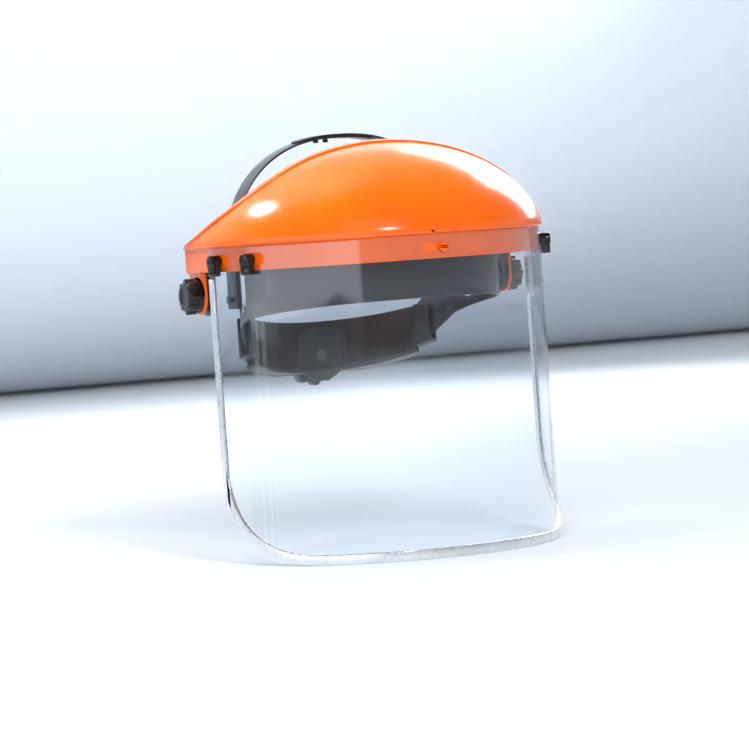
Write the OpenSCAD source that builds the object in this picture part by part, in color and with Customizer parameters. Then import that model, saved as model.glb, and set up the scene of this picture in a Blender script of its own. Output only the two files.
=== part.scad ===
// Face shield with a tilting brow crown, bound clear visor and ratchet headgear.
// Front is -Y, up is +Z, the wearer's right is -X. The origin is the centre of
// the head opening, level with the crown's lower ledge.

/* [Visor] */
// Width of the flat visor sheet, along its bent edge
visor_w = 394; // [386:2:396]
// Height of the visor sheet
visor_h = 229; // [200:1:240]
// Sheet thickness
visor_t = 1; // [0.8:0.1:1]
// Length of the rounded lower corner, along the sheet
corner_run = 92; // [80:1:100]
// Height of the rounded lower corner
corner_rise = 72; // [60:1:80]
// Width of the metal edge binding
binding_w = 6.5; // [5:0.5:8]
// Distance of the binding's upper end below the ledge
binding_top = 23; // [23:1:28]

/* [Crown] */
// Outside radius of the crown's ledge
crown_r = 131.5; // [131.5:0.1:132]
// Height of the dome over the ledge
crown_h = 73; // [70:0.5:75]
// Wall thickness of the moulded crown
crown_wall = 2.3; // [2:0.1:2.5]
// Height of the skirt that carries the visor
skirt_h = 18; // [17:0.5:19]
// Width of each ear, front to back
ear_w = 28; // [26:1:28]

/* [Pivot] */
// Distance of the side pivots behind the crown's centre
pivot_y = 26; // [26:0.5:27]
// Distance of the side pivots below the ledge
pivot_drop = 35; // [34:0.5:36]
// Radius of the pivot bolt
bolt_r = 3; // [2.5:0.5:3]
// Radius of the star knob over its lobes
knob_r = 13.2; // [12:0.1:13.5]

/* [Headgear] */
// Half width of the headband at its middle surface
band_a = 95.5; // [95:0.5:96]
// Half length of the headband at its middle surface
band_b = 97; // [96:0.5:97]
// Thickness of the headband moulding
band_t = 2.2; // [1.8:0.1:2.4]
// Height of the crown strap's top over the ledge
strap_top = 78.5; // [76:0.5:79]
// Width of the crown strap
strap_w = 18; // [16:1:18]

/* [Ratchet] */
// Radius of the ratchet knob over its grips
ratchet_r = 23.7; // [22:0.1:25]
// Height of the pinion's axis below the ledge
pinion_drop = 88; // [87.5:0.5:88]
// Number of pinion teeth
pinion_teeth = 8; // [8:1:8]
// Gear module of the pinion and the racks
gear_m = 1.5; // [1.4:0.1:1.5]

/* [Hidden] */
$fn = 64;
gap = 0.3;                 // between surfaces that slide past each other
run_fit = 0.05;            // radial clearance of a shaft in its hole
visor_r = 129;             // inside radius of the bent sheet
visor_out = visor_r + visor_t;
edge_deg = visor_w / 2 / (visor_r + visor_t / 2) * 180 / PI;
visor_top = 1.2;           // gap between the sheet's top edge and the ledge
foil = 0.6;                // wall of the edge binding
skirt_out = visor_r - 0.6;
skirt_in = skirt_out - crown_wall;
ear_out = 126.4;
ear_in = ear_out - 2.5;
ear_front = pivot_y - ear_w / 2;
crown_back = pivot_y + ear_w / 2 + 1;
lip_h = 2.5;
rim_front = -38;           // where the rim crosses the top of the dome
rim_low = 52;              // height over which the rim sweeps back to the ears
rim_power = 2.2;           // how late the rim sweeps back
rim_steps = 8;
dome_steps = 14;
dome_mid = -8;             // level of the dome's widest ellipse, hidden below the ledge
bead_w = 6;
bead_t = 1.4;
button_deg = [65, 81];     // places of the turn buttons round the skirt
button_z = -10;
button_r = 4.25;
button_shank = 2.5;
button_top = 137;
button_tail = 11;
slot_run = 2 * button_r;   // length of a button's slot beyond its barrel
stud_head = 3.6;
stud_shank = 1.7;
keyway = 12;               // length of the stud's slot in the visor
keyhole_deg = 5.4;
rib_deg = [-2.5, 4.5];     // two small ribs that mark the keyhole
washer_out = ear_in - gap;
arm_out = 120.5;
arm_t = 3;
arm_in = arm_out - arm_t;
arm_z = [-17, -2];
bolt_head_t = 2.6;
knob_in = ear_out + gap;
knob_out = 137.6;
band_steps = 96;
notch_y = 22;              // middle of the notch between band and strap leg
notch_r = 14;
notch_z = -36;
leg_back = 47;
strap_y = 33;
strap_a = 92;              // half width of the strap's arch
strap_z0 = -14;            // level of the arch's widest point
arch_power = 0.87;         // below 1 the arch is squarer than an ellipse
strap_t = 1.5;
strap_foot = [92.5, -47];  // lower end of each half: from the middle, and level
boss_z = [-46, -30];       // lower and upper ends of the strap boss
peg_r = 2;
peg_y = 41.5;
peg_z = -40;
tail_t = 1.6;
tail_h = 21;
tail_end = 20;             // degrees that each tail runs past the middle
housing_end = 46;          // degrees to each side of the middle
sleeve_end = 54.5;
shell_in = [-3.6, -1.6];
shell_out = [3.4, 5.2];
boss_r = 20;
boss_back = band_b + 8;
pitch_r = gear_m * pinion_teeth / 2;
tooth_pitch = gear_m * PI;
hub_r = 4;
ring_in = 12.8;            // the notched ring's inside radius and its two faces
ring_y = [band_b + 5.6, boss_back - 0.2];
knob_y = boss_back + gap;
ratchet_t = 15;

// ---- shared shapes ------------------------------------------------------

// Extrudes an outline drawn in Y and Z across the whole width.
module side_profile(points, width = 400) {
  rotate([90, 0, 90]) linear_extrude(height = width, center = true) polygon(points);
}

// Ring about the Z axis between two radii and two levels.
module ring(r_in, r_out, z0, z1) {
  translate([0, 0, z0]) difference() {
    cylinder(r = r_out, h = z1 - z0, $fn = 180);
    translate([0, 0, -1]) cylinder(r = r_in, h = z1 - z0 + 2, $fn = 180);
  }
}

// Turns a shape drawn at the front (-Y) to an angle on one side.
module at_angle(side, deg) {
  rotate([0, 0, side * deg]) children();
}

// Cylinder that points outwards (-Y) from one radius to another.
module spoke(r, r0, r1, z) {
  translate([0, -r0, z]) rotate([90, 0, 0]) cylinder(r = r, h = r1 - r0);
}

// Cylinder on the pivot axis of one side, between two distances from the middle.
module pivot_cyl(side, r, x0, x1) {
  translate([side * x0, pivot_y, -pivot_drop])
    rotate([0, side * 90, 0]) cylinder(r = r, h = x1 - x0);
}

// Cylinder along +Y on the pinion's axis.
module nape_cyl(r, y0, y1) {
  translate([0, y1, -pinion_drop]) rotate([90, 0, 0]) cylinder(r = r, h = y1 - y0);
}

// Point of the head ellipse grown by d; t is 0 at the nape, 90 on the left.
function band_point(t, d) = [(band_a + d) * sin(t), (band_b + d) * cos(t)];

// Outline of a curved strip whose middle follows the head ellipse.
// shift(t) = lift * smooth step, so that one tail can pass outside the other.
function lift_at(t, lift) = let (k = min(1, max(0, (56 - t) / 22))) lift * k * k * (3 - 2 * k);
function strip_side(t0, t1, d, lift, n = 40) =
  [for (i = [0:n]) let (t = t0 + (t1 - t0) * i / n) band_point(t, d + lift_at(t, lift))];

module strip(t0, t1, d0, d1, z0, z1, lift = 0) {
  inner = strip_side(t0, t1, d0, lift);
  outer = strip_side(t1, t0, d1, lift);
  translate([0, 0, z0]) linear_extrude(height = z1 - z0) polygon(concat(inner, outer));
}

// Closed hoop on the head ellipse.
module hoop(d0, d1, z0, z1) {
  translate([0, 0, z0]) difference() {
    linear_extrude(height = z1 - z0)
      polygon([for (i = [0:band_steps - 1]) band_point(i * 360 / band_steps, d1)]);
    translate([0, 0, -1]) linear_extrude(height = z1 - z0 + 2)
      polygon([for (i = [0:band_steps - 1]) band_point(i * 360 / band_steps, d0)]);
  }
}

// ---- crown ---------------------------------------------------------------

// Y of the crown's rear rim at height z.
function rim_y(z) =
  rim_front + (crown_back - rim_front) * pow(max(0, 1 - z / rim_low), rim_power);

// Side view of all that lies in front of the rim, moved forward by inset.
function rim_outline(inset) = concat(
  [[-160, -60], [-160, 100], [rim_front - inset, 100]],
  [for (i = [rim_steps:-1:0]) let (z = rim_low * i / rim_steps) [rim_y(z) - inset, z]],
  [[crown_back - inset, -60]]
);

// Points of the dome's curve, grown by d, from its edge up to its top. The ellipse
// meets the edge at dome_start degrees, a little above its widest level.
dome_start = asin((lip_h - dome_mid) / (crown_h - dome_mid));
dome_a = crown_r / cos(dome_start);
function dome_arc(d) = [
  for (i = [0:dome_steps]) let (a = dome_start + i * (90 - dome_start) / dome_steps)
    [(dome_a + d) * cos(a), dome_mid + (crown_h + d - dome_mid) * sin(a)]
];

// The same points on the other side of the middle, in the opposite order.
function mirrored(points) = [for (i = [len(points) - 1:-1:0]) [-points[i][0], points[i][1]]];
function part_of(points, first, last) = [for (i = [first:last]) points[i]];

// Outer half outlines run up to the middle and inner ones run down from it.
crown_outer = concat(
  [[skirt_in, -skirt_h], [skirt_out, -skirt_h], [skirt_out, 0], [crown_r, 0]],
  dome_arc(0)
);
crown_inner = concat(
  [for (i = [dome_steps:-1:0]) dome_arc(-crown_wall)[i]],
  [[crown_r - crown_wall, 1.2], [skirt_in, 1.2]]
);
bead_outer = dome_arc(bead_t);
bead_inner = [for (i = [dome_steps:-1:0]) dome_arc(-1)[i]];

// Turns a half section round the front and carries it straight back at the sides.
module crown_sweep(outer, inner) {
  rotate([0, 0, 180]) rotate_extrude(angle = 180, $fn = 180) polygon(concat(outer, inner));
  translate([0, crown_back + 5, 0]) rotate([90, 0, 0]) linear_extrude(height = crown_back + 5)
    polygon(concat(
      outer,
      mirrored(part_of(outer, 0, len(outer) - 2)),
      mirrored(part_of(inner, 1, len(inner) - 1)),
      inner
    ));
}

module crown_moulding() {
  intersection() {
    crown_sweep(crown_outer, crown_inner);
    side_profile(rim_outline(0));
  }
  intersection() {
    crown_sweep(bead_outer, bead_inner);
    difference() {
      side_profile(rim_outline(0));
      side_profile(rim_outline(bead_w), 500);
    }
  }
}

module ear(side) {
  x_mid = side * (ear_in + ear_out) / 2;
  translate([x_mid, pivot_y, (1 - pivot_drop) / 2])
    cube([ear_out - ear_in, ear_w, pivot_drop + 1], center = true);
  pivot_cyl(side, ear_w / 2, ear_in, ear_out);
}

// Moulded mushroom stud that the visor's keyhole hooks on.
module centre_stud() {
  difference() {
    union() {
      spoke(stud_shank, skirt_out - 1, visor_out + gap + 0.5, button_z);
      spoke(stud_head, visor_out + gap, visor_out + gap + 1.5, button_z);
    }
    translate([0, -visor_out - gap - 1.5, button_z]) cube([2 * stud_head + 1, 1, 0.8], center = true);
  }
}

module crown_shell() {
  color("darkorange") difference() {
    union() {
      crown_moulding();
      for (side = [-1, 1]) ear(side);
      centre_stud();
      for (deg = rib_deg)
        at_angle(1, deg) translate([0, -crown_r, 4.5]) cube([1, 2.4, 8], center = true);
    }
    for (side = [-1, 1]) {
      pivot_cyl(side, bolt_r + run_fit, ear_in - 1, ear_out + 1);
      for (deg = button_deg)
        at_angle(side, deg) spoke(button_shank + run_fit, skirt_in - 2, skirt_out + 2, button_z);
    }
  }
}

// ---- visor ---------------------------------------------------------------

// Y of the sheet at a run s from its side edge.
function sheet_y(s) = -visor_out * cos(edge_deg - s / visor_out * 180 / PI);

// Side view of the sheet, with its edge moved inwards by inset.
function sheet_outline(inset, top) = concat(
  [[-150, top], [sheet_y(inset), top]],
  [for (i = [0:16]) let (a = i * 90 / 16) [
    sheet_y(inset + (corner_run - inset) * (1 - cos(a))),
    -visor_top - visor_h + corner_rise - (corner_rise - inset) * sin(a)
  ]],
  [[-150, -visor_top - visor_h + inset]]
);

// Oblong slot that a turn button passes through when it lies along it.
module button_slot(side) {
  slot_r = button_r + 0.35;
  for (dx = [0, -side * slot_run])
    translate([dx, 0, 0]) spoke(slot_r, visor_r - 3, visor_out + 3, button_z);
  translate([-side * slot_run / 2, -visor_r, button_z]) cube([slot_run, 8, 2 * slot_r], center = true);
}

module visor() {
  color("lightcyan", 0.35) difference() {
    intersection() {
      ring(visor_r, visor_out, -visor_top - visor_h, -visor_top);
      side_profile(sheet_outline(0, 5));
    }
    for (side = [-1, 1], deg = button_deg) at_angle(side, deg) button_slot(side);
    spoke(stud_shank + 0.25, visor_r - 3, visor_out + 3, button_z);
    at_angle(-1, keyhole_deg) spoke(stud_head + 0.4, visor_r - 3, visor_out + 3, button_z);
    translate([-keyway / 2, -visor_r, button_z]) cube([keyway, 8, 2 * stud_shank + 0.5], center = true);
  }
}

module visor_binding() {
  color("silver") difference() {
    intersection() {
      ring(visor_r - foil, visor_out + foil, -visor_top - visor_h - foil, -binding_top);
      side_profile(sheet_outline(-foil, -binding_top));
    }
    intersection() {
      ring(visor_r, visor_out, -visor_top - visor_h, -visor_top);
      side_profile(sheet_outline(0, 5));
    }
    side_profile(sheet_outline(binding_w, 5));
  }
}

// ---- turn buttons ----------------------------------------------------------

// Quarter-turn button: barrel, lever hanging down, shank and inner flange.
module turn_button(side, deg) {
  lever_in = visor_out + 0.4;
  color("black") at_angle(side, deg) difference() {
    union() {
      spoke(button_r, skirt_out + gap, button_top, button_z);
      spoke(button_shank, skirt_in - 1.6, skirt_out + 1, button_z);
      spoke(4, skirt_in - 1.8, skirt_in - gap, button_z);
      translate([-button_r, -button_top + 0.6, button_z - button_tail + 1.2])
        cube([2 * button_r, button_top - 0.6 - lever_in, button_tail - 1.2]);
      translate([0, -lever_in, button_z - button_tail + 1.2]) rotate([90, 0, 0])
        linear_extrude(height = button_top - 1.4 - lever_in)
          polygon([[-button_r, 0.1], [button_r, 0.1], [button_r - 1.2, -1.2], [1.2 - button_r, -1.2]]);
    }
    translate([0, -button_top + 0.2, button_z - 5]) cube([20, 1.6, 0.9], center = true);
  }
}

// ---- headgear --------------------------------------------------------------

// Side view of the headband: front band, side plate, ear notch and strap leg.
band_profile = concat(
  [[-110, -6], [0, -6], [6, -8], [8, -14]],
  [for (a = [180:15:360]) [notch_y + notch_r * cos(a), notch_z + notch_r * sin(a)]],
  [[36, -14], [leg_back, -14], [leg_back, -69.5]],
  [[37, -62], [21, -57.5], [0, -54], [-40, -50], [-75, -47], [-110, -45.5]]
);

// Solid of everything inside the head ellipse grown by d.
module band_core(d = band_t / 2 - 0.02) {
  linear_extrude(height = 300, center = true)
    polygon([for (i = [0:band_steps - 1]) band_point(i * 360 / band_steps, d)]);
}

// Boss and mushroom peg on a strap leg, which the end of the crown strap hangs on.
module strap_boss(side) {
  boss_w = 8;
  boss_l = 11;
  foot_in = strap_foot[0] - strap_t - gap;
  difference() {
    translate([side * (foot_in - boss_w / 2), peg_y, (boss_z[0] + boss_z[1]) / 2])
      cube([boss_w, boss_l, boss_z[1] - boss_z[0]], center = true);
    band_core();
  }
  translate([side * (foot_in - 1), peg_y, peg_z]) rotate([0, side * 90, 0]) {
    cylinder(r = peg_r, h = 6);
    translate([0, 0, 5.4]) cylinder(r = peg_r + 1.4, h = 1.2);
  }
}

module headband() {
  color([0.2, 0.21, 0.25]) {
    intersection() {
      hoop(-band_t / 2, band_t / 2, -80, 0);
      side_profile(band_profile);
    }
    for (side = [-1, 1]) strap_boss(side);
  }
}

module brow_pad() {
  pad_t = 4;
  color("dimgray") intersection() {
    hoop(-band_t / 2 - 0.1 - pad_t, -band_t / 2 - 0.1, -42, -9);
    side_profile([[-120, -9], [-28, -9], [-22, -15], [-22, -36], [-28, -42], [-120, -42]]);
  }
}

// Arm that carries the pivot: a plate inside the ear, joined to the band in front.
module pivot_arm(side) {
  arm_h = arm_z[1] - arm_z[0];
  web_deg = 57;
  color([0.12, 0.12, 0.14]) difference() {
    union() {
      intersection() {
        ring(arm_in, arm_out, arm_z[0], arm_z[1]);
        translate([side > 0 ? 0 : -200, -200, -50]) cube([200, 200, 100]);
        at_angle(side, web_deg - 2)
          translate([side > 0 ? 0 : -200, -200, -50]) cube([200, 400, 100]);
      }
      translate([side * (arm_in + arm_out) / 2, ear_front / 2 + 1, (arm_z[0] + arm_z[1]) / 2])
        cube([arm_t, ear_front + 2, arm_h], center = true);
      difference() {
        at_angle(side, web_deg) translate([-side * 1.5 - 1.5, -arm_out + 1, arm_z[0]])
          cube([3, 40, arm_h]);
        band_core(band_t / 2 + 0.02);
      }
      translate([side * (arm_in + arm_out) / 2, pivot_y, (arm_z[1] - pivot_drop) / 2])
        cube([arm_t, ear_w + 2, pivot_drop + arm_z[1]], center = true);
      pivot_cyl(side, ear_w / 2 + 1, arm_in, arm_out);
    }
    pivot_cyl(side, bolt_r + run_fit, arm_in - 1, arm_out + 1);
  }
}

// Point of the strap's arch, grown by d; a is 90 at the side, 0 at the top, less beyond it.
function arch_point(a, d) = [
  (strap_a + d) * sign(a) * pow(abs(sin(a)), arch_power),
  strap_z0 + (strap_top - strap_z0 - 1.6 + d) * pow(abs(cos(a)), arch_power)
];

// One half: side -1 is the inner layer, side 1 the outer one; end_deg is how far it overlaps.
module strap_arch(side, d0, d1, end_deg) {
  n = 36;
  translate([0, strap_y + strap_w, 0]) rotate([90, 0, 0]) linear_extrude(height = strap_w)
    polygon(concat(
      [for (i = [0:n]) let (a = 90 - (90 + end_deg) * i / n, p = arch_point(a, d0)) [side * p[0], p[1]]],
      [for (i = [n:-1:0]) let (a = 90 - (90 + end_deg) * i / n, p = arch_point(a, d1)) [side * p[0], p[1]]],
      [[side * (strap_foot[0] + d1), strap_foot[1]], [side * (strap_foot[0] + d0), strap_foot[1]]]
    ));
}

module strap_peg_hole(side) {
  translate([side * strap_foot[0], peg_y, peg_z])
    rotate([0, 90, 0]) cylinder(r = peg_r + 0.2, h = 12, center = true);
}

// Round hole through the strap's top, at a place across the shield.
module strap_hole(x) {
  translate([x, strap_y + strap_w / 2, strap_top - 25]) cylinder(r = peg_r + 0.2, h = 30);
}

module crown_strap_right() {
  color([0.1, 0.1, 0.11]) difference() {
    strap_arch(-1, -strap_t, 0, 16);
    strap_peg_hole(-1);
    for (x = [-24:8:16]) strap_hole(x);
  }
}

module crown_strap_left() {
  color([0.14, 0.14, 0.15]) {
    difference() {
      strap_arch(1, 0.05, 0.05 + strap_t, 18.5);
      strap_peg_hole(1);
      for (x = [24:8:40]) strap_hole(x);
    }
    for (x = [-16, -8])
      translate([x, strap_y + strap_w / 2, strap_top - 6]) cylinder(r = peg_r, h = 5);
  }
}

// Side view of a size tail: broad where it leaves the band, narrow in the housing.
tail_profile = [
  [leg_back, -43], [56, -45], [61, -49], [65.5, -54], [67, -59.5], [72, -64.5], [81, -72],
  [91, tail_h / 2 - pinion_drop], [120, tail_h / 2 - pinion_drop],
  [120, -tail_h / 2 - pinion_drop], [91, -tail_h / 2 - pinion_drop], [85, -94.5],
  [72, -87.5], [64, -82.5], [56, -77.5], [52, -73.5], [leg_back, -69.5]
];

// Toothed slot for the pinion; up is 1 with its teeth on the upper edge.
module rack_slot(up) {
  half = pitch_r + 1.25 * gear_m;
  difference() {
    translate([-34, 80, -pinion_drop - half]) cube([68, 40, 2 * half]);
    for (k = [-8:7]) {
      x = (k + 0.5) * tooth_pitch;
      root = up * half;
      tip = up * (pitch_r - 0.75 * gear_m);
      translate([x, 125, -pinion_drop]) rotate([90, 0, 0]) linear_extrude(height = 50)
        polygon([[-1.3, root + up], [-1.3, root], [-0.45, tip], [0.45, tip], [1.3, root], [1.3, root + up]]);
    }
  }
}

// side -1 is the inner layer, side 1 the outer layer over the nape.
module size_tail(side) {
  layer = side > 0 ? 2 : 0;
  far_end = -tail_end;
  color([0.25, 0.25, 0.28]) difference() {
    intersection() {
      mirror([side > 0 ? 0 : 1, 0, 0]) strip(far_end, 66, -tail_t / 2, tail_t / 2, -110, -30, layer);
      side_profile(tail_profile);
    }
    rack_slot(side);
  }
}

// ---- pivots ----------------------------------------------------------------

module pivot_bolt(side) {
  color("gray") {
    pivot_cyl(side, 8, arm_in - bolt_head_t, arm_in);
    pivot_cyl(side, bolt_r, arm_in - 1, knob_out - 3.2);
  }
}

module friction_washer(side) {
  color("dimgray") difference() {
    pivot_cyl(side, 11, arm_out, washer_out);
    pivot_cyl(side, bolt_r + run_fit, arm_out - 1, washer_out + 1);
  }
}

module knob_washer(side) {
  color("silver") difference() {
    pivot_cyl(side, 8.5, knob_in, knob_in + 1);
    pivot_cyl(side, bolt_r + run_fit, knob_in - 1, knob_in + 2);
  }
}

// Star knob: flared round base with eight grips towards its outer face.
module star_knob(side) {
  lobes = 8;
  color("black") difference() {
    union() {
      pivot_cyl(side, knob_r - 0.6, knob_in, knob_in + 3.2);
      pivot_cyl(side, knob_r - 2.6, knob_in + 3, knob_out);
      for (i = [0:lobes - 1])
        translate([0, pivot_y, -pivot_drop]) rotate([i * 360 / lobes, 0, 0])
          translate([side * (knob_in + 2.4), 0, knob_r - 2.6])
            rotate([0, side * 90, 0]) cylinder(r = 2.6, h = knob_out - knob_in - 3.4);
    }
    pivot_cyl(side, 8.9, knob_in - 1, knob_in + 1.3);
    pivot_cyl(side, 5, knob_in, knob_out - 3);
    pivot_cyl(side, 6.5, knob_out - 0.8, knob_out + 1);
  }
}

module knob_insert(side) {
  color("gold") difference() {
    pivot_cyl(side, 5, knob_in + 1.5, knob_out - 3.1);
    pivot_cyl(side, bolt_r + run_fit, knob_in, knob_out);
  }
}

// ---- nape housing and ratchet ----------------------------------------------

// Lower and upper edges of the housing in side view, sloping down towards the nape.
housing_low = [[130, -102], [94, -102], [85, -99], [60, -89.5], [40, -82]];
housing_top = [[40, -49], [66, -56], [86, -61], [97, -63.2], [130, -63.2]];
function raised(points, dz) = [for (p = points) [p[0], p[1] + dz]];
housing_profile = concat(housing_top, housing_low);
sleeve_profile = [[40, -54.5], [98, -54.5], [98, -98.5], [40, -77]];

module nape_shell() {
  wall = 1.9;
  lip_rise = 4;
  color([0.3, 0.28, 0.3]) difference() {
    union() {
      intersection() {
        union() {
          strip(-housing_end, housing_end, shell_in[0], shell_in[1], -115, -45);
          difference() {
            strip(-housing_end, housing_end, shell_in[1] - 0.01, shell_out[0] - 0.1, -115, -45);
            side_profile(concat(raised(housing_top, -wall), raised(housing_low, wall)));
          }
        }
        side_profile(housing_profile);
      }
      intersection() {
        strip(-housing_end, housing_end, shell_in[0] - 1, shell_in[1], -115, -45);
        side_profile(concat([for (i = [4:-1:0]) raised(housing_low, lip_rise)[i]], housing_low));
      }
      intersection() {
        strip(-30, 30, shell_in[0], shell_in[1], -115, -45);
        nape_cyl(boss_r, 70, 130);
      }
    }
    nape_cyl(hub_r + run_fit, 70, 130);
  }
}

module nape_cover() {
  color([0.13, 0.13, 0.14]) difference() {
    union() {
      intersection() {
        strip(-housing_end, housing_end, shell_out[0], shell_out[1], -115, -45);
        union() {
          side_profile(housing_profile);
          nape_cyl(boss_r, 70, 130);
        }
      }
      difference() {
        nape_cyl(boss_r, band_b, boss_back);
        nape_cyl(boss_r - 2.4, 70, boss_back + 10);
        band_core(shell_out[0] + 0.2);
      }
    }
    nape_cyl(hub_r + run_fit, 70, 130);
  }
}

module end_sleeve(side) {
  color("black") mirror([side > 0 ? 0 : 1, 0, 0]) difference() {
    intersection() {
      strip(housing_end + 0.2, sleeve_end, -4.4, 6, -115, -40);
      side_profile(sleeve_profile);
    }
    intersection() {
      strip(housing_end - 5, sleeve_end + 5, -1.7, 3.4, -115, -40);
      side_profile([[30, -40], [110, -40], [110, -101.2], [30, -71.4]]);
    }
  }
}

module ratchet_ring() {
  notches = 24;
  color("gray") difference() {
    nape_cyl(boss_r - 2.5, ring_y[0], ring_y[1]);
    nape_cyl(ring_in, ring_y[0] - 1, ring_y[1] + 1);
    for (i = [0:notches - 1])
      translate([0, 0, -pinion_drop]) rotate([0, i * 360 / notches, 0])
        translate([ring_in, ring_y[1] + 1, 0]) rotate([90, 0, 0])
          cylinder(r = 1.1, h = ring_y[1] - ring_y[0] + 2);
  }
}

// Gear outline with straight-sided teeth, a tooth pointing along +X when turn is 0.
function gear_outline(teeth, turn) = [
  for (i = [0:teeth - 1]) let (a = turn + i * 360 / teeth)
    for (p = [[-13, -1.25], [-5.5, 0.85], [5.5, 0.85], [13, -1.25]])
      let (r = pitch_r + p[1] * gear_m) [r * cos(a + p[0]), r * sin(a + p[0])]
];

module ratchet_pinion() {
  color("silver") difference() {
    union() {
      translate([0, band_b + 2.8, -pinion_drop]) rotate([90, 0, 0])
        linear_extrude(height = 4.2) polygon(gear_outline(pinion_teeth, 90));
      nape_cyl(hub_r, band_b - 3.4, knob_y + 3);
    }
    nape_cyl(1.55, knob_y - 5, knob_y + 4);
  }
}

module ratchet_pawl() {
  y0 = ring_y[0] + 0.2;
  y1 = knob_y - 0.05;
  color("dimgray") difference() {
    union() {
      nape_cyl(7.2, y0, y1);
      for (i = [0:2])
        translate([0, 0, -pinion_drop]) rotate([0, i * 120, 0]) {
          translate([3.2, y0, 4.8]) cube([6.4, y1 - y0, 1.7]);
          translate([9.6, y1, 5.65]) rotate([90, 0, 0]) cylinder(r = 1.05, h = y1 - y0);
        }
    }
    nape_cyl(hub_r + 0.01, y0 - 1, y1 + 1);
  }
}

module ratchet_knob() {
  grips = 12;
  color([0.1, 0.1, 0.11]) difference() {
    union() {
      nape_cyl(ratchet_r - 2.4, knob_y, knob_y + ratchet_t - 2);
      nape_cyl(ratchet_r - 5, knob_y + 1, knob_y + ratchet_t);
      for (i = [0:grips - 1])
        translate([0, knob_y + ratchet_t - 3, -pinion_drop]) rotate([0, i * 360 / grips, 0])
          translate([0, 0, ratchet_r - 3.4]) rotate([90, 0, 0])
            cylinder(r = 3.4, h = ratchet_t - 3.6);
    }
    nape_cyl(hub_r + 0.01, knob_y - 1, knob_y + 3.05);
    nape_cyl(1.55, knob_y, knob_y + ratchet_t);
    nape_cyl(5, knob_y + ratchet_t - 3, knob_y + ratchet_t + 1);
  }
}

module ratchet_screw() {
  color("silver") difference() {
    union() {
      nape_cyl(1.5, knob_y - 4.5, knob_y + ratchet_t - 2.5);
      nape_cyl(3.2, knob_y + ratchet_t - 3, knob_y + ratchet_t - 0.8);
    }
    for (a = [0, 90])
      translate([0, knob_y + ratchet_t - 0.6, -pinion_drop]) rotate([0, a, 0])
        cube([3.6, 1.8, 0.8], center = true);
  }
}

crown_shell();
visor();
visor_binding();
turn_button(-1, button_deg[0]);  // turn_button_right_front
turn_button(-1, button_deg[1]);  // turn_button_right_rear
turn_button(1, button_deg[0]);  // turn_button_left_front
turn_button(1, button_deg[1]);  // turn_button_left_rear
headband();
brow_pad();
pivot_arm(-1);  // pivot_arm_right
pivot_arm(1);  // pivot_arm_left
crown_strap_right();
crown_strap_left();
size_tail(-1);  // size_tail_right
size_tail(1);  // size_tail_left
pivot_bolt(-1);  // pivot_bolt_right
pivot_bolt(1);  // pivot_bolt_left
friction_washer(-1);  // friction_washer_right
friction_washer(1);  // friction_washer_left
knob_washer(-1);  // knob_washer_right
knob_washer(1);  // knob_washer_left
star_knob(-1);  // star_knob_right
star_knob(1);  // star_knob_left
knob_insert(-1);  // knob_insert_right
knob_insert(1);  // knob_insert_left
nape_shell();
nape_cover();
end_sleeve(-1);  // end_sleeve_right
end_sleeve(1);  // end_sleeve_left
ratchet_ring();
ratchet_pinion();
ratchet_pawl();
ratchet_knob();
ratchet_screw();
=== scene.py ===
# %% [markdown]
# # A face shield, finished round its CAD frame
#
# The CAD model says where every part is and how it moves. This script keeps that frame and models
# what the eye sees: a glossy moulded crown, a bent clear sheet in a folded metal edging, and black
# headgear inside. All sizes are in millimetres, and `MM` turns them into Blender's metres.
# Front is -Y, up is +Z, and the wearer's right is -X.

# %% Load the frame
import math

import bmesh
import bpy
from mathutils import Matrix, Vector


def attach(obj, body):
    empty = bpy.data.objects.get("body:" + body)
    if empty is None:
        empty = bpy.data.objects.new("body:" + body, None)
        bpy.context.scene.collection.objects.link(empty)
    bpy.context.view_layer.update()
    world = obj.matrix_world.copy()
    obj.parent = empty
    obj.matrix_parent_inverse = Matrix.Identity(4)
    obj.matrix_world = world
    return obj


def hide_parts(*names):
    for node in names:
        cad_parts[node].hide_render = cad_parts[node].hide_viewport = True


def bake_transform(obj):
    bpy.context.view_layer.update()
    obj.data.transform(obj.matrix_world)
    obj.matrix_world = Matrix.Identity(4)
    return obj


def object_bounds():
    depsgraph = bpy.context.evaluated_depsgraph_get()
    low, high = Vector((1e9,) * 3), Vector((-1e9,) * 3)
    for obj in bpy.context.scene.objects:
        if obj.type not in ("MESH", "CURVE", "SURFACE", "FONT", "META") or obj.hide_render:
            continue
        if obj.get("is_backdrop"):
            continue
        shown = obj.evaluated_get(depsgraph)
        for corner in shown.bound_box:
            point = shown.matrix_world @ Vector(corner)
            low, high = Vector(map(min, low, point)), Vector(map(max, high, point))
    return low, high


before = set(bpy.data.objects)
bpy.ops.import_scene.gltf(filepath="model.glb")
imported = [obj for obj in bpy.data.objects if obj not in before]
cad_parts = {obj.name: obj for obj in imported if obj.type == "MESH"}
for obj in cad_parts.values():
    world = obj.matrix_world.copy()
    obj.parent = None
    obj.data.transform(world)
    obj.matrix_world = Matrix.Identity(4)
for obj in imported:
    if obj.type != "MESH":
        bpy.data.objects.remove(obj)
cad_box = [list(corner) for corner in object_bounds()]
MM = 0.001
print("CAD box in mm:", [[round(v / MM, 1) for v in corner] for corner in cad_box])

# %% [markdown]
# ## The camera, the floor and the light
#
# The shield is seen from its right-hand side, 25 degrees round from straight ahead, and from a
# little above, through a long lens that keeps upright lines upright. The camera leans a little,
# so the shield stands tilted in the picture. A sheet of pale paper that curves up behind is both
# floor and backdrop, as in a product studio, because a hard horizon would show through the visor.

# %% Camera
VIEW_FROM = math.radians(-25)
VIEW_UP = math.radians(2.4)
CAMERA_LEAN = math.radians(-3.9)
CAMERA_DISTANCE = 2.8
LENS_MM = 181
AIM = Vector((0, 0, -0.1025))

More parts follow.
